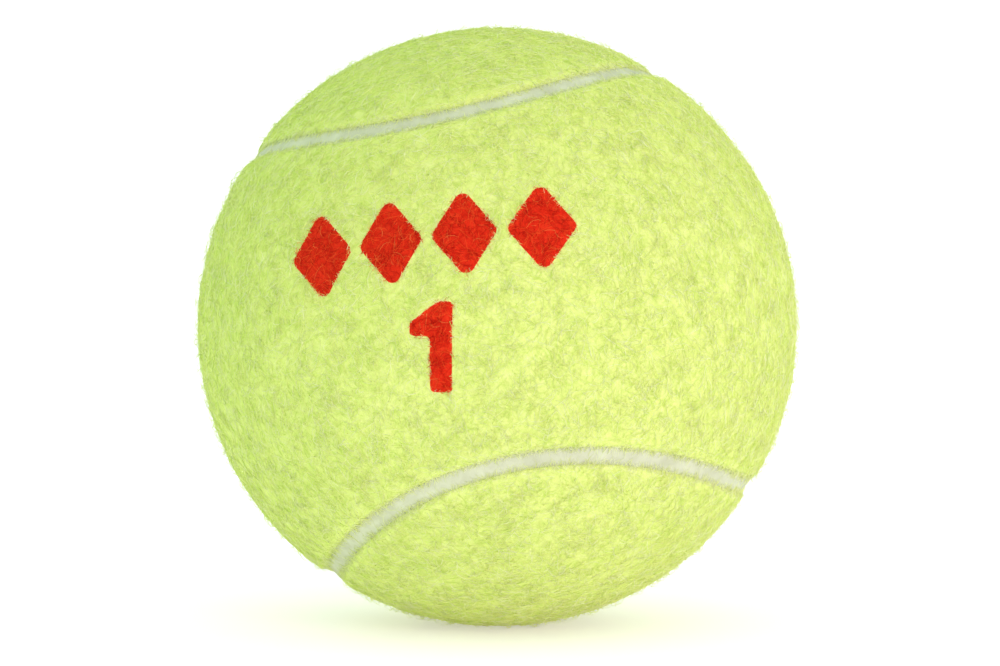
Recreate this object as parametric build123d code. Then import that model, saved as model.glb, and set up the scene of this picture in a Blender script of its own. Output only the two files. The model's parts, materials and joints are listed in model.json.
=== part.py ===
from build123d import *
import math
import os

# A pressurised tennis ball. Millimetres, +Z up, centred on the origin, print facing -Y.
# From the inside out: two rubber half-shells cemented rim to rim, a coat of cement,
# two dumbbell panels of felt, and the rubber seam that fills the gap between them.

# driving sizes
ball_diameter = 66.7
felt_thickness = 3.4
cover_cement_thickness = 0.15
core_wall = 3.3
core_joint_thickness = 0.2
joint_bead_radius = 0.6
seam_width = 2.2
seam_recess = 0.5

# The middle of the seam, on a ball of radius 1 and before it is turned, is
# x = a cos t + b cos 3t, y = a sin t - b sin 3t, z = c sin 2t, where a = 1 - b.
# A larger b gives the panels a narrower waist.
seam_b = 0.204
seam_points = 48
seam_turn = (76.5, -5.9, 56.4)

# The print is one impression. It is pressed on along an axis that leans to the left of
# the front and upwards. Places in it are measured from that axis, along and up.
print_left = 13.0
print_up = 15.0
ink_depth = 0.4
mark_count = 4
mark_pitch = 8.2
mark_width = 7.4
mark_height = 10.4
mark_round = 0.9
mark_tilt = 8.5
mark_centre = (-0.7, 3.9)
numeral_place = (0.2, -7.9)
numeral_height = 9.6
numeral_stem = 2.45
numeral_reach = 2.3
numeral_slope = 2.4
numeral_flag = 1.4
numeral_round = 0.5

# radii that follow from the sizes
ball_radius = ball_diameter / 2
felt_back_radius = ball_radius - felt_thickness
core_radius = felt_back_radius - cover_cement_thickness
core_bore_radius = core_radius - core_wall
seam_top_radius = ball_radius - seam_recess

# A modelled sphere has a join line from pole to pole. These places lay it along the
# middle of the one panel, so that it never crosses the edge of the other.
join_in_plain_panel = Plane(origin=(0, 0, 0), x_dir=(0, 0, -1), z_dir=(1, 1, 0))
join_in_printed_panel = Plane(origin=(0, 0, 0), x_dir=(0, 0, 1), z_dir=(1, -1, 0))


def spherical_shell(outer, inner, place=Plane.XY):
    return place * (Sphere(outer) - Sphere(inner)).solid()


def seam_direction(t):
    """The unit direction of the middle of the seam at t."""
    a = 1 - seam_b
    c = 2 * math.sqrt(a * seam_b)
    return Vector(
        a * math.cos(t) + seam_b * math.cos(3 * t),
        a * math.sin(t) - seam_b * math.sin(3 * t),
        c * math.sin(2 * t),
    )


def panel_edge_direction(t, side):
    """The unit direction of a panel's edge, half the seam's width to one side of its
    middle. side is 1 for the panel with the print and -1 for the plain one."""
    step = 1e-4
    middle = seam_direction(t)
    along = (seam_direction(t + step) - seam_direction(t - step)).normalized()
    angle = side * seam_width / 2 / ball_radius
    return middle * math.cos(angle) + middle.cross(along) * math.sin(angle)


def panel_edge_wall(side):
    """The face that a panel's edge lies in. Its straight lines all point at the centre."""
    turns = [2 * math.pi * i / seam_points for i in range(seam_points)]
    directions = [panel_edge_direction(t, side) for t in turns]
    low = core_bore_radius
    high = ball_radius + felt_thickness
    inner = Edge.make_spline([d * low for d in directions], periodic=True)
    outer = Edge.make_spline([d * high for d in directions], periodic=True)
    return Face.make_surface_from_curves(inner, outer)


def height(solid):
    return solid.center().Z


def cover():
    """The two felt panels and the seam, before they are turned: the panel for the print
    has its waist at the top, and the plain one has its waist at the bottom."""
    plain_wall = panel_edge_wall(-1)
    printed_wall = panel_edge_wall(1)
    shell = spherical_shell(ball_radius, felt_back_radius, join_in_plain_panel)
    printed = max(shell.split(printed_wall, keep=Keep.ALL), key=height)
    shell = spherical_shell(ball_radius, felt_back_radius, join_in_printed_panel)
    plain = min(shell.split(plain_wall, keep=Keep.ALL), key=height)
    shell = spherical_shell(seam_top_radius, felt_back_radius, join_in_plain_panel)
    without_plain = max(shell.split(plain_wall, keep=Keep.ALL), key=height)
    seam = min(without_plain.split(printed_wall, keep=Keep.ALL), key=height)
    return printed, plain, seam


def core_halves():
    """The upper and lower half-shells, with room for the cement between their rims."""
    shell = spherical_shell(core_radius, core_bore_radius)
    gap = core_joint_thickness / 2
    upper = shell.split(Plane.XY.offset(gap), keep=Keep.TOP)
    lower = shell.split(Plane.XY.offset(-gap), keep=Keep.BOTTOM)
    return upper, lower


def core_joint_cement():
    """The cement between the rims, and the bead that it squeezes out inside the core."""
    shell = spherical_shell(core_radius, core_bore_radius)
    slab = Box(3 * core_radius, 3 * core_radius, core_joint_thickness)
    bead = Torus(core_bore_radius, joint_bead_radius) & Sphere(core_bore_radius)
    return (shell & slab) + bead


def print_plane():
    left = math.radians(print_left)
    up = math.radians(print_up)
    axis = (-math.sin(left) * math.cos(up), -math.cos(left) * math.cos(up), math.sin(up))
    along = (math.cos(left), -math.sin(left), 0)
    return Plane(origin=(0, 0, 0), x_dir=along, z_dir=axis)


def mark_outlines():
    """A plain row of lozenges that rises to the right."""
    tilt = math.radians(mark_tilt)
    w = mark_width / 2
    h = mark_height / 2
    lozenge = Polygon((w, 0), (0, h), (-w, 0), (0, -h), align=None)
    lozenge = fillet(lozenge.vertices(), mark_round)
    row = []
    for i in range(mark_count):
        far = (i - (mark_count - 1) / 2) * mark_pitch
        x = mark_centre[0] + far * math.cos(tilt)
        y = mark_centre[1] + far * math.sin(tilt)
        row.append(Pos(x, y) * Rot(0, 0, mark_tilt) * lozenge)
    return row


def numeral_outline():
    """The ball's number, a plain 1: a stem, and a flag that slopes down to the left."""
    left, y = numeral_place
    top = y + numeral_height / 2
    right = left + numeral_stem
    tip = left - numeral_reach
    outline = Polygon(
        (right, top),
        (left + 0.35 * numeral_stem, top),
        (tip, top - numeral_slope),
        (tip, top - numeral_slope - numeral_flag),
        (left, top - numeral_slope - numeral_flag),
        (left, top - numeral_height),
        (right, top - numeral_height),
        align=None,
    )
    return fillet(outline.vertices(), numeral_round)


def inked(outlines, skin):
    """The felt under each outline that the ink has soaked into."""
    plane = print_plane()
    solids = []
    for outline in outlines:
        column = extrude(plane * outline, amount=ball_diameter)
        solids += (column & skin).solids()
    return Compound(children=solids)


def save(shape, node):
    export_step(shape, f"parts/{node}.step")


os.makedirs("parts", exist_ok=True)

turn = Rotation(*seam_turn)
panel_to_print, plain_panel, seam = [turn * solid for solid in cover()]
skin = turn * spherical_shell(ball_radius, ball_radius - ink_depth, join_in_plain_panel)
mark = inked(mark_outlines(), skin)
numeral = inked([numeral_outline()], skin)
printed_panel = panel_to_print - mark.solids() - numeral.solids()
core_upper, core_lower = core_halves()

save(core_upper, "core_half_upper")
save(core_lower, "core_half_lower")
save(core_joint_cement(), "core_joint_cement")
save(spherical_shell(felt_back_radius, core_radius), "cover_cement")
save(printed_panel, "felt_panel_printed")
save(plain_panel, "felt_panel_plain")
save(seam, "seam_rubber")
save(mark, "print_mark")
save(numeral, "print_numeral")
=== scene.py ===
import json
import math

import bmesh
import bpy
import numpy as np
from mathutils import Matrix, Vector


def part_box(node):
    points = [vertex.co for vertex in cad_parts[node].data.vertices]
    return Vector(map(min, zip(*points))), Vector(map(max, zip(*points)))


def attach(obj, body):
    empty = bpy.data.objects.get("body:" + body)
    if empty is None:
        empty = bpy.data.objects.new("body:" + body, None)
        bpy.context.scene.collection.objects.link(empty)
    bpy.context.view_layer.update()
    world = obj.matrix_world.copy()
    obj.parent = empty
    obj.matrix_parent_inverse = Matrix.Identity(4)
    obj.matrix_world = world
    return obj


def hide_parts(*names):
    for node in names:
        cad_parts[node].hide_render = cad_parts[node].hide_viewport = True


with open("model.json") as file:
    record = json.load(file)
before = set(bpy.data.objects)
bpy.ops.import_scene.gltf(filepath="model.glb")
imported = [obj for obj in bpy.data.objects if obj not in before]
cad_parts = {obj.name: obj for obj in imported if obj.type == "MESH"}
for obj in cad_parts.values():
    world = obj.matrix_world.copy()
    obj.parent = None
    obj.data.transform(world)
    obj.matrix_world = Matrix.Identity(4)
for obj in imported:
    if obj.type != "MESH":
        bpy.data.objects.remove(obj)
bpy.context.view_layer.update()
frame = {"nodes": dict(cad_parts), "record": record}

MM = 0.001

# ---- sizes, in metres, as the CAD parts have them ----
BALL_RADIUS = max(frame["record"]["size"]["bbox_m"]) / 2
FELT_BACK_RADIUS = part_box("cover_cement")[1].z
SEAM_WIDTH = 2.2 * MM
SEAM_RECESS = 0.5 * MM
SEAM_B = 0.204
SEAM_TURN = (76.5, -5.9, 56.4)
INK_DEPTH = 0.4 * MM

# the print: the axis it is pressed on along, and its outlines measured from that axis
PRINT_LEFT = 13.0
PRINT_UP = 15.0
MARK_COUNT = 4
MARK_PITCH = 8.2 * MM
MARK_SIZE = (7.4 * MM, 10.4 * MM)
MARK_ROUND = 0.9 * MM
MARK_TILT = 8.5
MARK_CENTRE = (-0.7 * MM, 3.9 * MM)
NUMERAL_PLACE = (0.2 * MM, -7.9 * MM)
NUMERAL_HEIGHT = 9.6 * MM
NUMERAL_STEM = 2.45 * MM
NUMERAL_REACH = 2.3 * MM
NUMERAL_SLOPE = 2.4 * MM
NUMERAL_FLAG = 1.4 * MM
NUMERAL_ROUND = 0.5 * MM

# ---- the felt's surface ----
# into how many parts a side of the icosahedron is cut, on the outside and on the back
GRID = 136
BACK_GRID = 28
# how near a grid point must be to an outline to move onto it, in grid edges
SNAP = 0.52
# the felt's lumps: height in millimetres, size, and a shift that tells their noises apart
LUMPS = ((0.07, 4.5 * MM, 0.0), (0.05, 1.6 * MM, 0.01), (0.045, 0.75 * MM, 0.02))
# the share of the lumps' height that is left at a panel's edge
LUMPS_AT_RIM = 0.3
SHOULDER_WIDTH = 0.9 * MM
SHOULDER_DROP = 0.30 * MM

# ---- the rubber seam ----
# into how many parts its curve is cut for measuring, and for the mesh
SEAM_SAMPLES = 2400
SEAM_SECTIONS = 1200
# how many lines of points run along its top
SEAM_LINES = 15
# how far its middle stands above the CAD seam, and how much lower its sides are
SEAM_CROWN = 0.13 * MM
SEAM_CROWN_DROP = 0.04 * MM
# its ripples, given as the felt's lumps are, and the share of them that is lost at its sides
SEAM_RIPPLES = ((0.035, 2.2 * MM, 0.0), (0.025, 0.7 * MM, 0.03))
RIPPLE_FADE = 0.8

# ---- the nap: pairs are ranges, in millimetres where they are sizes, and its angles are in
# radians ----
LYING_FIBRES = 98000
RIM_FIBRES = 12000
FIBRES_PER_PIECE = 7400
FIBRE_SEGMENTS = 4
FIBRE_RADIUS = (0.018, 0.032)
# how much thinner a fibre is at its tip, and how deep it is set in the ground
TIP_TAPER = 0.75
FIBRE_SINK = 0.05 * MM
# the share of the ground's rise and fall that a fibre follows
FOLLOWS = 0.65
# over the seam the ground is this far above the CAD seam, and rises to the felt over a step
SEAM_BED = 0.12 * MM
SEAM_STEP = 0.3 * MM
# fibres all over the panels, of which a share stands and the rest lies: how far inside the
# panels' edges they start, their lengths, how high they rise, and their tips' heights as
# shares of that
BARE_EDGE = 0.05 * MM
STANDING_SHARE = 0.13
LYING_LENGTH, STANDING_LENGTH = (1.1, 3.0), (0.8, 2.2)
LYING_LIFT, STANDING_LIFT = (0.05, 0.32), (0.25, 0.95)
LYING_TIP, STANDING_TIP = (-0.2, 0.5), (0.2, 0.9)
# how much they bend, evenly and more towards the tip
LYING_BEND, LYING_TWIST = 1.7, 1.3
# the share of them that follows a swirl, its size, how far it turns, and their spread
SWIRL_SHARE = 0.45
SWIRL_SIZE = 5 * MM
SWIRL_TURN = 2.5 * np.pi
SWIRL_SPREAD = 0.5
# how far a fibre may reach over the seam, and the share that may reach further
OVERHANG = 0.45 * MM
STRAY_SHARE = 0.06
# short fibres that lean over the seam: how far inside the panels' edges they start, how
# scattered they are, and then the same facts as above
RIM_BAND = (0.02, 0.55)
RIM_SCATTER = 0.1 * MM
RIM_LENGTH, RIM_LIFT, RIM_TIP = (0.5, 1.4), (0.02, 0.17), (-0.1, 0.6)
RIM_BEND, RIM_TWIST = 1.2, 0.8
RIM_SPREAD = 0.8
# the shares of the fibre tones, in the materials' order
LYING_TONES = (0.38, 0.27, 0.2, 0.15)
# the fibres along the seam's edges take more of the pale and cream tones and none of the green:
# painted light that lightens the shade in the seam's groove
RIM_TONES_PAINTED_LIGHT = (0.3, 0.4, 0.0, 0.3)
RED_TONES = (0.35, 0.3, 0.3, 0.05)
# how far the ink strays from the outline along single fibres
INK_BLEED = 0.12 * MM

# ---- the studio ----
# the surround's colour, its light on the ball, and how bright it looks
SURROUND_COLOUR = (0.86, 1, 0.86)
SURROUND_LIGHT = 0.97
SURROUND_SEEN = 1.2
LAMP_PLACE = (0.46, -0.65, 0.11)
LAMP_SIZE = (0.6, 0.28)
LAMP_POWER = 2.7
LAMP_COLOUR = (0.98, 0.55, 0.98)
# half the floor's width, how far it is under the ball, its colour, and how it glows
FLOOR_HALF = 30.0
FLOOR_GAP = 0.1 * MM
FLOOR_COLOUR = (0.98, 0.95, 0.98)
FLOOR_GLOW = (0.92, 0.85, 1)
FLOOR_GLOW_STRENGTH = 0.34
CAMERA_LENS = 289
CAMERA_DISTANCE = 0.9
CAMERA_ELEVATION = 5
CAMERA_AIM = (0.0003, 0, -0.0007)

rng = np.random.default_rng(7)


# ---------------------------------------------------------------- vectors and noise
def unit(v):
    """Vectors of length 1 in the directions of those given."""
    return v / np.linalg.norm(v, axis=-1, keepdims=True)


def turn_matrix(degrees):
    """The matrix that turns about X, then the turned Y, then the turned Z."""
    angles = [math.radians(a) for a in degrees]
    cx, cy, cz = map(math.cos, angles)
    sx, sy, sz = map(math.sin, angles)
    about_x = np.array([[1, 0, 0], [0, cx, -sx], [0, sx, cx]])
    about_y = np.array([[cy, 0, sy], [0, 1, 0], [-sy, 0, cy]])
    about_z = np.array([[cz, -sz, 0], [sz, cz, 0], [0, 0, 1]])
    return about_x @ about_y @ about_z


LATTICE = 48
LATTICE_VALUES = np.random.default_rng(3).uniform(-1, 1, (LATTICE,) * 3)
# keeps every place in the lattice above 0
LATTICE_SHIFT = 1000.37


def cloud(points, size):
    """Smooth noise from -1 to 1, whose lumps are about size across."""
    p = points / size + LATTICE_SHIFT
    cell = np.floor(p).astype(int)
    f = p - cell
    f = f * f * (3 - 2 * f)
    total = np.zeros(len(points))
    for dx in (0, 1):
        for dy in (0, 1):
            for dz in (0, 1):
                w = (
                    (f[:, 0] if dx else 1 - f[:, 0])
                    * (f[:, 1] if dy else 1 - f[:, 1])
                    * (f[:, 2] if dz else 1 - f[:, 2])
                )
                i = (cell + (dx, dy, dz)) % LATTICE
                total += w * LATTICE_VALUES[i[:, 0], i[:, 1], i[:, 2]]
    return total


def layered(points, layers):
    """Several clouds added up, each given as a height, a size and a shift."""
    return sum(height * cloud(points + shift, size) for height, size, shift in layers)


# ---------------------------------------------------------------- the seam
def seam_curve():
    """Directions to the middle of the seam, along it, and across it to the printed panel."""
    t = np.linspace(0, 2 * np.pi, SEAM_SAMPLES, endpoint=False)
    a, b = 1 - SEAM_B, SEAM_B
    c = 2 * math.sqrt(a * b)
    x = a * np.cos(t) + b * np.cos(3 * t)
    y = a * np.sin(t) - b * np.sin(3 * t)
    z = c * np.sin(2 * t)
    dx = -a * np.sin(t) - 3 * b * np.sin(3 * t)
    dy = a * np.cos(t) - 3 * b * np.cos(3 * t)
    dz = 2 * c * np.cos(2 * t)
    turn = turn_matrix(SEAM_TURN)
    middle = unit(np.c_[x, y, z]) @ turn.T
    along = unit(np.c_[dx, dy, dz]) @ turn.T
    return middle, along, unit(np.cross(middle, along))


SEAM_MIDDLE, SEAM_ALONG, SEAM_ACROSS = seam_curve()
# how many directions are compared with the seam at a time, and the angle, in radians,
# within which the distance to it is worked out exactly
CHUNK = 8192
NEAR_SEAM = 0.2


def from_seam(directions):
    """How far each direction is from the middle of the seam on the ball's surface, above 0
    on the printed panel, and how far round the seam, in samples, its nearest point is."""
    far = np.empty(len(directions))
    place = np.empty(len(directions))
    for start in range(0, len(directions), CHUNK):
        chunk = slice(start, start + CHUNK)
        d = directions[chunk]
        near = np.argmax(d @ SEAM_MIDDLE.T, axis=1)
        middle, along, across = SEAM_MIDDLE[near], SEAM_ALONG[near], SEAM_ACROSS[near]
        side = np.einsum("ij,ij->i", d, across)
        angle = np.arccos(np.clip(np.einsum("ij,ij->i", d, middle), -1, 1))
        exact = np.arcsin(np.clip(side, -1, 1))
        signed = np.where(angle < NEAR_SEAM, exact, np.sign(side) * angle)
        far[chunk] = BALL_RADIUS * signed
        step = np.einsum("ij,ij->i", d, along)
        spacing = np.linalg.norm(SEAM_MIDDLE[(near + 1) % SEAM_SAMPLES] - middle, axis=1)
        place[chunk] = near + np.clip(step / spacing, -0.5, 0.5)
    return far, place


# ---------------------------------------------------------------- the print
def print_axes():
    """The axis that the print is pressed on along, pointing out of the ball, and the
    directions along the print and up it."""
    left, up = math.radians(PRINT_LEFT), math.radians(PRINT_UP)
    level = math.cos(up)
    out = np.array([-math.sin(left) * level, -math.cos(left) * level, math.sin(up)])
    along = np.array([math.cos(left), -math.sin(left), 0.0])
    return out, along, np.cross(out, along)


PRINT_OUT, PRINT_ALONG, PRINT_RISE = print_axes()
# into how many parts the arc at a rounded corner is cut
ARC_STEPS = 6


def rounded(corners, radius):
    """A closed outline with each corner replaced by an arc."""
    corners = np.array(corners, float)
    points = []
    for i, corner in enumerate(corners):
        back = unit(corners[i - 1] - corner)
        ahead = unit(corners[(i + 1) % len(corners)] - corner)
        half = math.acos(np.clip(back @ ahead, -1, 1)) / 2
        centre = corner + unit(back + ahead) * radius / math.sin(half)
        start = corner + back * radius / math.tan(half) - centre
        end = corner + ahead * radius / math.tan(half) - centre
        a0 = math.atan2(start[1], start[0])
        sweep = math.remainder(math.atan2(end[1], end[0]) - a0, 2 * math.pi)
        for k in range(ARC_STEPS + 1):
            a = a0 + sweep * k / ARC_STEPS
            points.append(centre + radius * np.array([math.cos(a), math.sin(a)]))
    return np.array(points)


def mark_outlines():
    """A plain row of lozenges that rises to the right."""
    tilt = math.radians(MARK_TILT)
    rise = np.array([[math.cos(tilt), -math.sin(tilt)], [math.sin(tilt), math.cos(tilt)]])
    w, h = MARK_SIZE[0] / 2, MARK_SIZE[1] / 2
    lozenge = rounded([(w, 0), (0, h), (-w, 0), (0, -h)], MARK_ROUND)
    centres = [((i - (MARK_COUNT - 1) / 2) * MARK_PITCH, 0) for i in range(MARK_COUNT)]
    return [(lozenge + centre) @ rise.T + MARK_CENTRE for centre in centres]


def numeral_outlines():
    """The ball's number, a plain 1: a stem, and a flag that slopes down to the left."""
    left, y = NUMERAL_PLACE
    top = y + NUMERAL_HEIGHT / 2
    right = left + NUMERAL_STEM
    tip = left - NUMERAL_REACH
    corners = [
        (right, top),
        (left + 0.35 * NUMERAL_STEM, top),
        (tip, top - NUMERAL_SLOPE),
        (tip, top - NUMERAL_SLOPE - NUMERAL_FLAG),
        (left, top - NUMERAL_SLOPE - NUMERAL_FLAG),
        (left, top - NUMERAL_HEIGHT),
        (right, top - NUMERAL_HEIGHT),
    ]
    return [rounded(corners, NUMERAL_ROUND)]


OUTLINES = {"print_mark": mark_outlines(), "print_numeral": numeral_outlines()}


def on_print(points):
    """Where points on the ball lie in the print, and which of them face it."""
    flat = np.c_[points @ PRINT_ALONG, points @ PRINT_RISE]
    return flat, points @ PRINT_OUT > 0


def near_outline(flat, faces_it, outline, margin=0.0):
    """The numbers of the points that face the print and lie near an outline's box."""
    lo, hi = outline.min(axis=0) - margin, outline.max(axis=0) + margin
    return np.flatnonzero(faces_it & (flat > lo).all(axis=1) & (flat < hi).all(axis=1))


def inside(flat, outline):
    """Which of the flat points lie inside a closed outline."""
    a, b = outline, np.roll(outline, -1, axis=0)
    x, y = flat[:, :1], flat[:, 1:]
    crosses = (a[:, 1] > y) != (b[:, 1] > y)
    with np.errstate(divide="ignore", invalid="ignore"):
        at = a[:, 0] + (y - a[:, 1]) * (b[:, 0] - a[:, 0]) / (b[:, 1] - a[:, 1])
    return (crosses & (x < at)).sum(axis=1) % 2 == 1


def to_outline(flat, outline):
    """The nearest point of a closed outline to each flat point."""
    a, b = outline, np.roll(outline, -1, axis=0)
    ab = b - a
    length = np.maximum((ab**2).sum(axis=1), 1e-18)
    share = ((flat[:, None] - a) * ab).sum(axis=2) / length
    foot = a + np.clip(share, 0, 1)[:, :, None] * ab
    gap = np.linalg.norm(flat[:, None] - foot, axis=2)
    best = gap.argmin(axis=1)
    rows = np.arange(len(flat))
    return foot[rows, best], gap[rows, best]


def which_print(points):
    """The number of the print node that each point lies in, or -1."""
    flat, faces_it = on_print(points)
    found = np.full(len(points), -1)
    for number, group in enumerate(OUTLINES.values()):
        for outline in group:
            near = near_outline(flat, faces_it, outline)
            found[near[inside(flat[near], outline)]] = number
    return found


# ---------------------------------------------------------------- meshes
# an edge that bends by more degrees than this stays sharp
SHARP_ANGLE = 60


def make_object(name, points, faces, material):
    """A piece from points and faces, with its normals outwards and its edges smooth."""
    mesh = bpy.data.meshes.new(name)
    mesh.from_pydata(points.tolist(), [], [tuple(f) for f in faces])
    bm = bmesh.new()
    bm.from_mesh(mesh)
    bmesh.ops.recalc_face_normals(bm, faces=bm.faces)
    bm.to_mesh(mesh)
    bm.free()
    mesh.shade_smooth()
    mesh.set_sharp_from_angle(angle=math.radians(SHARP_ANGLE))
    obj = bpy.data.objects.new(name, mesh)
    bpy.context.scene.collection.objects.link(obj)
    mesh.materials.append(material)
    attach(obj, "root")
    return obj


def geodesic(frequency):
    """Directions and triangles of an icosahedron with each side cut into equal parts."""
    g = (1 + math.sqrt(5)) / 2
    corners = unit(
        np.array(
            [(-1, g, 0), (1, g, 0), (-1, -g, 0), (1, -g, 0), (0, -1, g), (0, 1, g)]
            + [(0, -1, -g), (0, 1, -g), (g, 0, -1), (g, 0, 1), (-g, 0, -1), (-g, 0, 1)],
            float,
        )
    )
    sides = [(0, 11, 5), (0, 5, 1), (0, 1, 7), (0, 7, 10), (0, 10, 11)]
    sides += [(1, 5, 9), (5, 11, 4), (11, 10, 2), (10, 7, 6), (7, 1, 8)]
    sides += [(3, 9, 4), (3, 4, 2), (3, 2, 6), (3, 6, 8), (3, 8, 9)]
    sides += [(4, 9, 5), (2, 4, 11), (6, 2, 10), (8, 6, 7), (9, 8, 1)]
    i, j = np.meshgrid(np.arange(frequency + 1), np.arange(frequency + 1), indexing="ij")
    kept = i + j <= frequency
    number = np.full(i.shape, -1)
    number[kept] = np.arange(kept.sum())
    i, j = i[kept], j[kept]
    up = i + j < frequency
    a = number[i[up], j[up]]
    triangles = [np.c_[a, number[i[up] + 1, j[up]], number[i[up], j[up] + 1]]]
    down = i + j < frequency - 1
    b = number[i[down] + 1, j[down]]
    triangles.append(np.c_[b, number[i[down] + 1, j[down] + 1], number[i[down], j[down] + 1]])
    triangles = np.vstack(triangles)
    points, faces = [], []
    for p, q, r in sides:
        faces.append(triangles + sum(len(x) for x in points))
        weights = np.c_[frequency - i - j, i, j] / frequency
        points.append(weights @ corners[[p, q, r]])
    points = unit(np.vstack(points))
    _, first, same = np.unique(
        np.round(points, 7), axis=0, return_index=True, return_inverse=True
    )
    return points[first], same.ravel()[np.vstack(faces)]


def boundary_loops(faces):
    """The closed loops of a surface's free edges, each as vertex numbers in order."""
    edges = np.vstack([faces[:, [0, 1]], faces[:, [1, 2]], faces[:, [2, 0]]])
    key = np.sort(edges, axis=1)
    _, where, count = np.unique(key, axis=0, return_inverse=True, return_counts=True)
    free = edges[count[where.ravel()] == 1]
    after = {}
    for a, b in free.tolist():
        after.setdefault(a, []).append(b)
    loops = []
    while after:
        start = next(iter(after))
        loop, here = [], start
        while True:
            loop.append(here)
            following = after[here].pop()
            if not after[here]:
                del after[here]
            here = following
            if here == start:
                break
        loops.append(loop)
    return loops


def edge_length(points, faces):
    """The longest first side of any triangle."""
    return np.linalg.norm(points[faces[:, 0]] - points[faces[:, 1]], axis=1).max()


def cut_at_seam(points, faces, side):
    """The part of a sphere's grid on one side of the seam, its rim snapped to the panel's
    edge. side is 1 for the printed panel and -1 for the plain one."""
    far, place = from_seam(points)
    past_edge = far * side - SEAM_WIDTH / 2
    snap = SNAP * edge_length(points, faces) * BALL_RADIUS
    rim = np.abs(past_edge) < snap
    shift = past_edge / BALL_RADIUS * side
    near = np.round(place).astype(int) % SEAM_SAMPLES
    moved = points - np.where(rim, shift, 0)[:, None] * SEAM_ACROSS[near]
    points = unit(moved)
    kept = ((past_edge > 0) | rim)[faces].all(axis=1) & ~rim[faces].all(axis=1)
    used, faces = np.unique(faces[kept], return_inverse=True)
    return points[used], faces.reshape(-1, 3), place[used], np.where(rim, 0, past_edge)[used]


def snapped_to_print(points, faces):
    """The grid with its points near the print's outlines moved onto them, and which print
    node each triangle belongs to."""
    flat, faces_it = on_print(points * BALL_RADIUS)
    snap = SNAP * edge_length(points, faces) * BALL_RADIUS
    points = points.copy()
    for group in OUTLINES.values():
        for outline in group:
            near = near_outline(flat, faces_it, outline, snap)
            foot, gap = to_outline(flat[near], outline)
            close = near[gap < snap]
            foot = foot[gap < snap]
            out = np.sqrt(BALL_RADIUS**2 - (foot**2).sum(axis=1))
            x, y = foot[:, :1], foot[:, 1:]
            on_ball = x * PRINT_ALONG + y * PRINT_RISE + out[:, None] * PRINT_OUT
            points[close] = on_ball / BALL_RADIUS
    middles = unit(points[faces].mean(axis=1)) * BALL_RADIUS
    return points, which_print(middles)


def felt_height(directions, past_edge):
    """How far the felt's surface stands above the ball's radius."""
    p = directions * BALL_RADIUS
    from_rim = np.clip(past_edge / SHOULDER_WIDTH, 0, 1)
    lumps = layered(p, LUMPS) * MM * (LUMPS_AT_RIM + (1 - LUMPS_AT_RIM) * from_rim)
    return lumps - SHOULDER_DROP * (1 - from_rim) ** 2


def with_lower_copy(points, directions, faces, radius_of):
    """The points with those of a surface's copy at another radius after them, the copy's
    triangles, and the number of each old point's copy."""
    used, renumbered = np.unique(faces, return_inverse=True)
    copy = renumbered.reshape(-1, 3) + len(points)
    lower = directions[used] * radius_of[used][:, None]
    number = dict(zip(used.tolist(), range(len(points), len(points) + len(used))))
    return np.vstack([points, lower]), copy, number


def rim_edges(faces):
    """The free edges of a surface, in order round its loops."""
    return [edge for loop in boundary_loops(faces) for edge in zip(loop, loop[1:] + loop[:1])]


def inked_nap(top, directions, low, part):
    """The points and triangles of the closed solid that fills a pocket in the felt."""
    used, patch = np.unique(part, return_inverse=True)
    patch = patch.reshape(-1, 3)
    n = len(used)
    points = np.vstack([top[used], directions[used] * low[used][:, None]])
    sides = []
    for a, b in rim_edges(patch):
        sides += [(b, a, a + n), (b, a + n, b + n)]
    return points, np.vstack([patch, patch[:, ::-1] + n, np.array(sides)])


def panel(name, node, side, materials):
    """A felt panel as a closed solid, with pockets for the inked nap."""
    directions, faces, place, past_edge = cut_at_seam(*geodesic(GRID), side)
    printed = np.full(len(faces), -1)
    if side == 1:
        directions, printed = snapped_to_print(directions, faces)
    radius = BALL_RADIUS + felt_height(directions, past_edge)
    top = directions * radius[:, None]
    low = radius - INK_DEPTH
    inked = {}
    points, body = top, [faces[printed < 0]]
    for number, ink_node in enumerate(OUTLINES):
        part = faces[printed == number]
        if len(part) == 0:
            continue
        # the pocket's floor and walls, in the panel
        points, floor, lower = with_lower_copy(points, directions, part, low)
        walls = []
        for a, b in rim_edges(part):
            walls += [(a, b, lower[b]), (a, lower[b], lower[a])]
        body += [floor, np.array(walls)]
        inked[ink_node] = inked_nap(top, directions, low, part)
    # the edge's wall and the back
    loops = boundary_loops(faces)
    assert len(loops) == 1, f"{name}: the rim is {len(loops)} loops"
    rim = np.array(loops[0])
    back_dirs, back_faces, back_place, _ = cut_at_seam(*geodesic(BACK_GRID), side)
    back_loops = boundary_loops(back_faces)
    assert len(back_loops) == 1, f"{name}: the back's rim is {len(back_loops)} loops"
    back_rim = np.array(back_loops[0])
    wall = zip_rims(rim, place[rim], back_rim, back_place[back_rim])
    wall = np.array([[p if kind == "a" else p + len(points) for kind, p in t] for t in wall])
    body.append(wall)
    body.append(back_faces[:, ::-1] + len(points))
    points = np.vstack([points, back_dirs * FELT_BACK_RADIUS])
    obj = make_object(name, points, np.vstack(body), materials["felt"])
    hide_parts(node)
    for ink_node, (ink_points, ink_faces) in inked.items():
        piece = make_object(f"{ink_node}_nap", ink_points, ink_faces, materials["ink"])
        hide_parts(ink_node)


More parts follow.
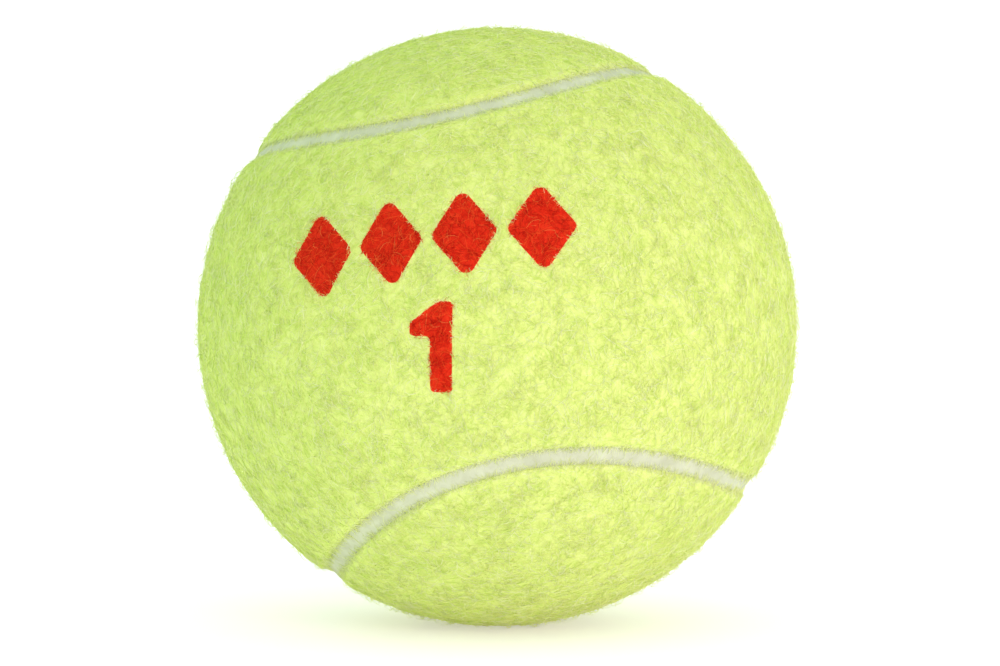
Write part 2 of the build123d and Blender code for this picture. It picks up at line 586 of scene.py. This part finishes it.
def zip_rims(rim_a, place_a, rim_b, place_b):
    """Triangles between two rims that lie along the same edge of the seam, with each
    corner given as its rim, a or b, and its point number."""

    def rising(rim, place):
        """A rim's points and their places round the seam, in rising order."""
        steps = np.diff(np.append(place, place[0]))
        steps = (steps + SEAM_SAMPLES / 2) % SEAM_SAMPLES - SEAM_SAMPLES / 2
        if steps.sum() < 0:
            rim, place = rim[::-1], place[::-1]
        start = np.argmin(place)
        rim, place = np.roll(rim, -start), np.roll(place, -start)
        return rim, np.maximum.accumulate(place)

    a, pa = rising(rim_a, place_a % SEAM_SAMPLES)
    b, pb = rising(rim_b, place_b % SEAM_SAMPLES)
    tagged_a = [("a", int(x)) for x in a]
    tagged_b = [("b", int(x)) for x in b]
    i = j = 0
    triangles = []
    tagged_a.append(tagged_a[0])
    tagged_b.append(tagged_b[0])
    pa = np.append(pa, pa[0] + SEAM_SAMPLES)
    pb = np.append(pb, pb[0] + SEAM_SAMPLES)
    while i < len(a) or j < len(b):
        if j == len(b) or (i < len(a) and pa[i + 1] <= pb[j + 1]):
            triangles.append((tagged_a[i], tagged_b[j], tagged_a[i + 1]))
            i += 1
        else:
            triangles.append((tagged_a[i], tagged_b[j], tagged_b[j + 1]))
            j += 1
    return triangles


def seam_band(material):
    """The rubber seam: one closed profile carried round the seam's curve."""
    rows = np.arange(SEAM_SECTIONS) * SEAM_SAMPLES // SEAM_SECTIONS

    def directions_at(s):
        """Directions along the seam at a share of its half-width to one side, -1 to 1."""
        angle = s * (SEAM_WIDTH / 2 / BALL_RADIUS)
        return SEAM_MIDDLE[rows] * math.cos(angle) + SEAM_ACROSS[rows] * math.sin(angle)

    lines = []
    for s in np.linspace(-1, 1, SEAM_LINES):
        directions = directions_at(s)
        ripple = layered(directions * BALL_RADIUS, SEAM_RIPPLES)
        # the ripples fade towards the sides, where the felt holds the rubber
        ripple *= 1 - RIPPLE_FADE * abs(s) ** 4
        crown = SEAM_CROWN - SEAM_CROWN_DROP * s * s
        top = BALL_RADIUS - SEAM_RECESS + crown
        lines.append(directions * (top + ripple * MM)[:, None])
    for s in (1, 0, -1):
        lines.append(directions_at(s) * FELT_BACK_RADIUS)
    k = len(lines)
    points = np.stack(lines, axis=1).reshape(-1, 3)
    faces = []
    for i in range(SEAM_SECTIONS):
        here, ahead = i * k, (i + 1) % SEAM_SECTIONS * k
        for j in range(k):
            beside = (j + 1) % k
            faces.append((here + j, here + beside, ahead + beside, ahead + j))
    obj = make_object("seam_band", points, faces, material)
    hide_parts("seam_rubber")


# ---------------------------------------------------------------- the nap's fibres
def ground(directions):
    """How far the felt, or the seam where there is no felt, stands above the ball's
    radius, and how far each direction is inside a panel's edge."""
    far, _ = from_seam(directions)
    past = np.abs(far) - SEAM_WIDTH / 2
    over_seam = np.clip(-past / SEAM_STEP, 0, 1)
    felt = felt_height(directions, np.maximum(past, 0))
    return felt * (1 - over_seam) - (SEAM_RECESS - SEAM_BED) * over_seam, past


# headings are measured round this direction; any other would do as well
POLE = (0.31, 0.17, 0.93)


def surface_axes(roots):
    """Two directions along the ball's surface at each root, square to each other: round
    the pole, and towards it."""
    east = unit(np.cross(POLE, roots))
    return east, np.cross(roots, east)


def carried(roots, heading, length, bend, twist, lift, tip):
    """Points along fibres that start at roots and curl over the ball's surface, and how
    far each point is inside a panel's edge. bend and twist turn the heading on the way,
    lift is how high a fibre arches, and tip is its tip's height as a share of that."""
    n = len(roots)
    east, north = surface_axes(roots)
    s = np.linspace(0, 1, FIBRE_SEGMENTS + 1)
    mid = (s[1:] + s[:-1]) / 2
    angle = heading[:, None] + bend[:, None] * mid + twist[:, None] * mid**2
    step = length[:, None] / FIBRE_SEGMENTS
    x = np.c_[np.zeros(n), np.cumsum(np.cos(angle) * step, axis=1)]
    y = np.c_[np.zeros(n), np.cumsum(np.sin(angle) * step, axis=1)]
    flat = roots[:, None] * BALL_RADIUS
    flat = flat + x[:, :, None] * east[:, None] + y[:, :, None] * north[:, None]
    directions = unit(flat)
    low, past = ground(directions.reshape(-1, 3))
    low, past = low.reshape(n, -1), past.reshape(n, -1)
    # a fibre is stiff, so it follows the ground only in part
    low = FOLLOWS * low + (1 - FOLLOWS) * low[:, :1]
    arch = 4 * s * (1 - s)
    tip = tip[:, None]
    height = lift[:, None] * (arch * (1 - tip) + tip * s) - FIBRE_SINK
    radius = BALL_RADIUS + low + height
    return directions * radius[:, :, None], past


def lying_fibres(count):
    """Fibres all over the panels: most lie in the nap, and one in eight stands out of it."""
    # a tenth more than needed, because some fall on the seam
    roots = unit(rng.normal(size=(int(count * 1.1), 3)))
    far, _ = from_seam(roots)
    roots = roots[np.abs(far) > SEAM_WIDTH / 2 + BARE_EDGE][:count]
    n = len(roots)
    stands = rng.random(n) < STANDING_SHARE

    def either(standing, lying):
        return np.where(stands, rng.uniform(*standing, n), rng.uniform(*lying, n))

    swirl = SWIRL_TURN * cloud(roots * BALL_RADIUS, SWIRL_SIZE)
    follows_swirl = rng.random(n) < SWIRL_SHARE
    with_swirl = swirl + rng.normal(0, SWIRL_SPREAD, n)
    paths, past = carried(
        roots,
        heading=np.where(follows_swirl, with_swirl, rng.uniform(0, 2 * np.pi, n)),
        length=either(STANDING_LENGTH, LYING_LENGTH) * MM,
        bend=rng.normal(0, LYING_BEND, n),
        twist=rng.normal(0, LYING_TWIST, n),
        lift=either(STANDING_LIFT, LYING_LIFT) * MM,
        tip=either(STANDING_TIP, LYING_TIP),
    )
    kept = (past.min(axis=1) > -OVERHANG) | (rng.random(n) < STRAY_SHARE)
    return paths[kept]


def rim_fibres(count):
    """Short fibres along both panels' edges that lean over the seam."""
    place = rng.integers(0, SEAM_SAMPLES, count)
    side = rng.choice((-1.0, 1.0), count)
    across = SEAM_WIDTH / 2 + rng.uniform(*RIM_BAND, count) * MM
    angle = (side * across / BALL_RADIUS)[:, None]
    roots = unit(SEAM_MIDDLE[place] * np.cos(angle) + SEAM_ACROSS[place] * np.sin(angle))
    roots = unit(roots + rng.normal(0, RIM_SCATTER / BALL_RADIUS, (count, 3)))
    east, north = surface_axes(roots)
    to_seam = -side[:, None] * SEAM_ACROSS[place]
    straight = np.arctan2((to_seam * north).sum(axis=1), (to_seam * east).sum(axis=1))
    paths, _ = carried(
        roots,
        heading=straight + rng.normal(0, RIM_SPREAD, count),
        length=rng.uniform(*RIM_LENGTH, count) * MM,
        bend=rng.normal(0, RIM_BEND, count),
        twist=rng.normal(0, RIM_TWIST, count),
        lift=rng.uniform(*RIM_LIFT, count) * MM,
        tip=rng.uniform(*RIM_TIP, count),
    )
    return paths


def fibre_mesh(paths, radius):
    """Closed three-sided tapering tubes along paths: their points, the quads of their
    sides and the triangles of their ends."""
    n, k, _ = paths.shape
    tangent = unit(np.gradient(paths, axis=1))
    out = unit(paths)
    across = unit(np.cross(tangent, out))
    out = np.cross(across, tangent)
    taper = 1 - TIP_TAPER * np.linspace(0, 1, k) ** 2
    r = radius[:, None] * taper
    turn = rng.uniform(0, 2 * np.pi, n)[:, None]
    rings = []
    for corner in range(3):
        a = turn + corner * 2 * np.pi / 3
        rings.append(
            paths + (r * np.cos(a))[:, :, None] * out + (r * np.sin(a))[:, :, None] * across
        )
    points = np.stack(rings, axis=2).reshape(-1, 3)
    base = (np.arange(n) * k * 3)[:, None]
    quads = []
    for ring in range(k - 1):
        for corner in range(3):
            a = ring * 3 + corner
            b = ring * 3 + (corner + 1) % 3
            quads.append((a, b, b + 3, a + 3))
    quads = (base[:, :, None] + np.array(quads)[None]).reshape(-1, 4)
    ends = np.array([(2, 1, 0), (3 * k - 3, 3 * k - 2, 3 * k - 1)])
    ends = (base[:, :, None] + ends[None]).reshape(-1, 3)
    return points, quads, ends


def fast_mesh(name, points, quads, triangles):
    """A mesh made from arrays, which is quick where there are very many faces."""
    mesh = bpy.data.meshes.new(name)
    mesh.vertices.add(len(points))
    mesh.vertices.foreach_set("co", points.astype(np.float32).ravel())
    loops = np.concatenate([quads.ravel(), triangles.ravel()]).astype(np.int32)
    mesh.loops.add(len(loops))
    mesh.loops.foreach_set("vertex_index", loops)
    starts = np.concatenate(
        [np.arange(len(quads)) * 4, 4 * len(quads) + np.arange(len(triangles)) * 3]
    ).astype(np.int32)
    mesh.polygons.add(len(starts))
    mesh.polygons.foreach_set("loop_start", starts)
    mesh.update(calc_edges=True)
    mesh.validate()
    return mesh


def nap(materials):
    """The fibres in several pieces, with a tone for each fibre, and red where inked."""
    lying, rim = lying_fibres(LYING_FIBRES), rim_fibres(RIM_FIBRES)
    paths = np.vstack([lying, rim])
    n, k, _ = paths.shape
    radius = rng.uniform(*FIBRE_RADIUS, n) * MM
    tone = np.r_[
        rng.choice(len(LYING_TONES), len(lying), p=LYING_TONES),
        # the rim fibres' paler tone shares are painted light against the shade in the seam's
        # groove
        rng.choice(len(RIM_TONES_PAINTED_LIGHT), len(rim), p=RIM_TONES_PAINTED_LIGHT),
    ]
    red_tone = rng.choice(len(RED_TONES), n, p=RED_TONES)
    middles = (paths[:, 1:] + paths[:, :-1]) / 2 + rng.normal(0, INK_BLEED, (n, 1, 3))
    inked = which_print(unit(middles.reshape(-1, 3)) * BALL_RADIUS).reshape(n, k - 1) >= 0
    slot = np.where(inked, len(materials["yellow"]) + red_tone[:, None], tone[:, None])
    # each piece is a sector of the ball, so that it is in one place
    order = np.argsort(np.arctan2(paths[:, 0, 1], paths[:, 0, 0]))
    for number, start in enumerate(range(0, n, FIBRES_PER_PIECE)):
        chosen = order[start : start + FIBRES_PER_PIECE]
        points, quads, ends = fibre_mesh(paths[chosen], radius[chosen])
        name = f"nap_{number + 1:02d}"
        mesh = fast_mesh(name, points, quads, ends)
        for material in materials["yellow"] + materials["red"]:
            mesh.materials.append(material)
        sides = np.repeat(slot[chosen], 3, axis=1).reshape(-1)
        caps = slot[chosen][:, [0, -1]].reshape(-1)
        indices = np.concatenate([sides, caps]).astype(np.int32)
        mesh.polygons.foreach_set("material_index", indices)
        mesh.shade_smooth()
        obj = bpy.data.objects.new(name, mesh)
        bpy.context.scene.collection.objects.link(obj)
        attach(obj, "root")


# ---------------------------------------------------------------- materials
class Nodes:
    """A material's node tree, with short calls for the nodes used here."""

    def __init__(self, name):
        self.material = bpy.data.materials.new(name)
        self.material.use_nodes = True
        self.tree = self.material.node_tree
        self.shader = self.tree.nodes["Principled BSDF"]
        self.where = self.tree.nodes.new("ShaderNodeTexCoord").outputs["Object"]

    def set(self, **values):
        """Values on the shader's own sockets, whose spaces are written as underscores."""
        for name, value in values.items():
            self.shader.inputs[name.replace("_", " ")].default_value = value

    def link(self, a, b):
        self.tree.links.new(a, b)

    def noise(self, size, detail, roughness=0.55, distortion=0.0):
        """Noise whose lumps are about size metres across."""
        node = self.tree.nodes.new("ShaderNodeTexNoise")
        node.inputs["Scale"].default_value = 1 / size
        node.inputs["Detail"].default_value = detail
        node.inputs["Roughness"].default_value = roughness
        node.inputs["Distortion"].default_value = distortion
        self.link(self.where, node.inputs["Vector"])
        return node.outputs["Fac"]

    def ramp(self, value, *stops):
        """Colours at places from 0 to 1, looked up by a value."""
        node = self.tree.nodes.new("ShaderNodeValToRGB")
        while len(node.color_ramp.elements) < len(stops):
            node.color_ramp.elements.new(0.5)
        for element, (at, colour) in zip(node.color_ramp.elements, stops):
            element.position = at
            element.color = (*colour, 1)
        self.link(value, node.inputs["Fac"])
        return node.outputs["Color"]

    def mix(self, share, a, b, how="MIX"):
        """Two colours mixed, or multiplied, by a fixed share."""
        node = self.tree.nodes.new("ShaderNodeMix")
        node.data_type = "RGBA"
        node.blend_type = how
        node.inputs["Factor"].default_value = share
        # a mix node's sockets 6 and 7 are its two colours, and its output 2 is their mix
        self.link(a, node.inputs[6])
        self.link(b, node.inputs[7])
        return node.outputs[2]

    def bump(self, height, distance, strength, under=None):
        """A normal bent by a height, and by the normal under it if there is one."""
        node = self.tree.nodes.new("ShaderNodeBump")
        node.inputs["Strength"].default_value = strength
        node.inputs["Distance"].default_value = distance
        self.link(height, node.inputs["Height"])
        if under:
            self.link(under, node.inputs["Normal"])
        return node.outputs["Normal"]


def felt_material(name, dark, middle, light, sheen):
    """Matted nap: mottled in tufts and streaked with fibres."""
    m = Nodes(name)
    tufts = m.noise(0.9 * MM, detail=5, roughness=0.6, distortion=0.6)
    fibres = m.noise(0.16 * MM, detail=3, roughness=0.6, distortion=2.5)
    broad = m.noise(9 * MM, detail=2)
    colour = m.ramp(tufts, (0.30, dark), (0.5, middle), (0.72, light))
    streaks = m.ramp(fibres, (0.35, dark), (0.55, middle), (0.7, light))
    colour = m.mix(0.5, colour, streaks)
    shade = m.ramp(broad, (0.3, (0.93, 0.95, 0.9)), (0.7, (1, 1, 1)))
    m.link(m.mix(1.0, colour, shade, "MULTIPLY"), m.shader.inputs["Base Color"])
    tufted = m.bump(tufts, distance=0.25 * MM, strength=0.6)
    normal = m.bump(fibres, distance=0.08 * MM, strength=0.8, under=tufted)
    m.link(normal, m.shader.inputs["Normal"])
    m.set(Roughness=0.95, Sheen_Weight=sheen, Sheen_Roughness=0.5, Sheen_Tint=(*middle, 1))
    m.set(Specular_IOR_Level=0.1)
    return m.material


def fibre_material(name, colour, sheen):
    """One dyed or inked fibre, thinner than any pattern on it would show."""
    m = Nodes(name)
    m.set(Base_Color=(*colour, 1), Roughness=0.85, Specular_IOR_Level=0.1)
    m.set(Sheen_Weight=sheen, Sheen_Tint=(*colour, 1))
    return m.material


# how far the grain takes a rubber's roughness down and up
ROUGHNESS_SPREAD = (-0.12, 0.1)


def rubber_material(name, dark, light, size, roughness):
    """Dull rubber or cement, slightly uneven in colour, roughness and surface."""
    m = Nodes(name)
    patches = m.noise(size, detail=5, roughness=0.6, distortion=0.4)
    grain = m.noise(size / 12, detail=4, roughness=0.6)
    colour = m.ramp(patches, (0.3, dark), (0.7, light))
    m.link(colour, m.shader.inputs["Base Color"])
    rough = m.tree.nodes.new("ShaderNodeMapRange")
    rough.inputs["To Min"].default_value = roughness + ROUGHNESS_SPREAD[0]
    rough.inputs["To Max"].default_value = roughness + ROUGHNESS_SPREAD[1]
    m.link(grain, rough.inputs["Value"])
    m.link(rough.outputs["Result"], m.shader.inputs["Roughness"])
    normal = m.bump(grain, distance=0.04 * MM, strength=0.5)
    m.link(normal, m.shader.inputs["Normal"])
    m.set(Specular_IOR_Level=0.3)
    return m.material


# the felts' dark, middle and light tones, and the fibres' single ones
YELLOW_FELT = ((0.57, 0.76, 0.14), (0.82, 0.94, 0.28), (0.90, 0.97, 0.41))
INKED_FELT = ((0.50, 0.012, 0.004), (0.84, 0.03, 0.008), (0.93, 0.07, 0.02))
YELLOW_FIBRES = {
    "fibre_yellow": (0.86, 0.96, 0.31),
    "fibre_pale": (0.90, 0.98, 0.45),
    "fibre_green": (0.74, 0.93, 0.21),
    "fibre_cream": (0.92, 0.98, 0.59),
}
RED_FIBRES = {
    "fibre_red": (0.86, 0.03, 0.008),
    "fibre_red_deep": (0.55, 0.01, 0.003),
    "fibre_red_bright": (0.94, 0.10, 0.02),
    "fibre_red_thin": (0.94, 0.27, 0.07),
}
# dark and light tone, size of the patches, and roughness
RUBBERS = {
    "seam_rubber": ((0.51, 0.55, 0.365), (0.66, 0.71, 0.50), 2.5 * MM, 0.8),
    "core_rubber": ((0.10, 0.095, 0.09), (0.19, 0.18, 0.165), 3 * MM, 0.7),
    "joint_cement": ((0.24, 0.20, 0.13), (0.36, 0.31, 0.22), 1.5 * MM, 0.6),
    "cover_cement": ((0.46, 0.43, 0.34), (0.62, 0.58, 0.48), 2 * MM, 0.6),
}


def all_materials():
    """The materials by name, and lists of those for the yellow and the red fibres."""
    materials = {
        "felt": felt_material("felt_yellow", *YELLOW_FELT, sheen=0.1),
        "ink": felt_material("felt_inked", *INKED_FELT, sheen=0.08),
        "yellow": [fibre_material(name, tone, sheen=0.06) for name, tone in YELLOW_FIBRES.items()],
        "red": [fibre_material(name, tone, sheen=0.05) for name, tone in RED_FIBRES.items()],
    }
    for name, look in RUBBERS.items():
        materials[name] = rubber_material(name, *look)
    return materials


# ---------------------------------------------------------------- the studio
def studio():
    """A pale floor that glows a little, as a light table does, an even pale surround, and
    a wide soft lamp that stands low to the right of the camera."""
    scene = bpy.context.scene
    scene.view_settings.view_transform = "Standard"
    world = bpy.data.worlds.new("studio")
    world.use_nodes = True
    tree = world.node_tree
    background = tree.nodes["Background"]
    background.inputs["Color"].default_value = (*SURROUND_COLOUR, 1)
    # the surround looks white, and gives a little less light than that
    strength = tree.nodes.new("ShaderNodeMapRange")
    strength.inputs["To Min"].default_value = SURROUND_LIGHT
    strength.inputs["To Max"].default_value = SURROUND_SEEN
    seen = tree.nodes.new("ShaderNodeLightPath").outputs["Is Camera Ray"]
    tree.links.new(seen, strength.inputs["Value"])
    tree.links.new(strength.outputs["Result"], background.inputs["Strength"])
    scene.world = world
    lamp = bpy.data.lights.new("key", "AREA")
    lamp.shape = "RECTANGLE"
    lamp.size, lamp.size_y = LAMP_SIZE
    lamp.energy = LAMP_POWER
    lamp.color = LAMP_COLOUR
    key = bpy.data.objects.new("key", lamp)
    scene.collection.objects.link(key)
    key.location = LAMP_PLACE
    key.rotation_euler = (-key.location).to_track_quat("-Z", "Z").to_euler()
    key.visible_camera = False
    mesh = bpy.data.meshes.new("floor")
    r, z = FLOOR_HALF, -BALL_RADIUS - FLOOR_GAP
    corners = [(-r, -r, z), (r, -r, z), (r, r, z), (-r, r, z)]
    mesh.from_pydata(corners, [], [(0, 1, 2, 3)])
    floor = bpy.data.objects.new("floor", mesh)
    scene.collection.objects.link(floor)
    m = Nodes("floor_pale")
    m.set(Base_Color=(*FLOOR_COLOUR, 1), Roughness=0.9, Specular_IOR_Level=0.1)
    m.set(Emission_Color=(*FLOOR_GLOW, 1), Emission_Strength=FLOOR_GLOW_STRENGTH)
    mesh.materials.append(m.material)


def camera():
    """A long lens, a little above level, with the ball nearly in the middle."""
    elevation = math.radians(CAMERA_ELEVATION)
    data = bpy.data.cameras.new("camera")
    data.lens = CAMERA_LENS
    data.clip_end = 100
    cam = bpy.data.objects.new("camera", data)
    bpy.context.scene.collection.objects.link(cam)
    back = Vector((0, -math.cos(elevation), math.sin(elevation)))
    cam.location = back * CAMERA_DISTANCE + Vector(CAMERA_AIM)
    cam.rotation_mode = "QUATERNION"
    cam.rotation_quaternion = (-back).to_track_quat("-Z", "Y")
    bpy.context.scene.camera = cam


materials = all_materials()
for node, material in (
    ("core_half_upper", "core_rubber"),
    ("core_half_lower", "core_rubber"),
    ("core_joint_cement", "joint_cement"),
    ("cover_cement", "cover_cement"),
):
    mesh = frame["nodes"][node].data
    mesh.materials.clear()
    mesh.materials.append(materials[material])

panel("felt_panel_printed_nap", "felt_panel_printed", 1, materials)
panel("felt_panel_plain_nap", "felt_panel_plain", -1, materials)
seam_band(materials["seam_rubber"])
nap(materials)
studio()
camera()
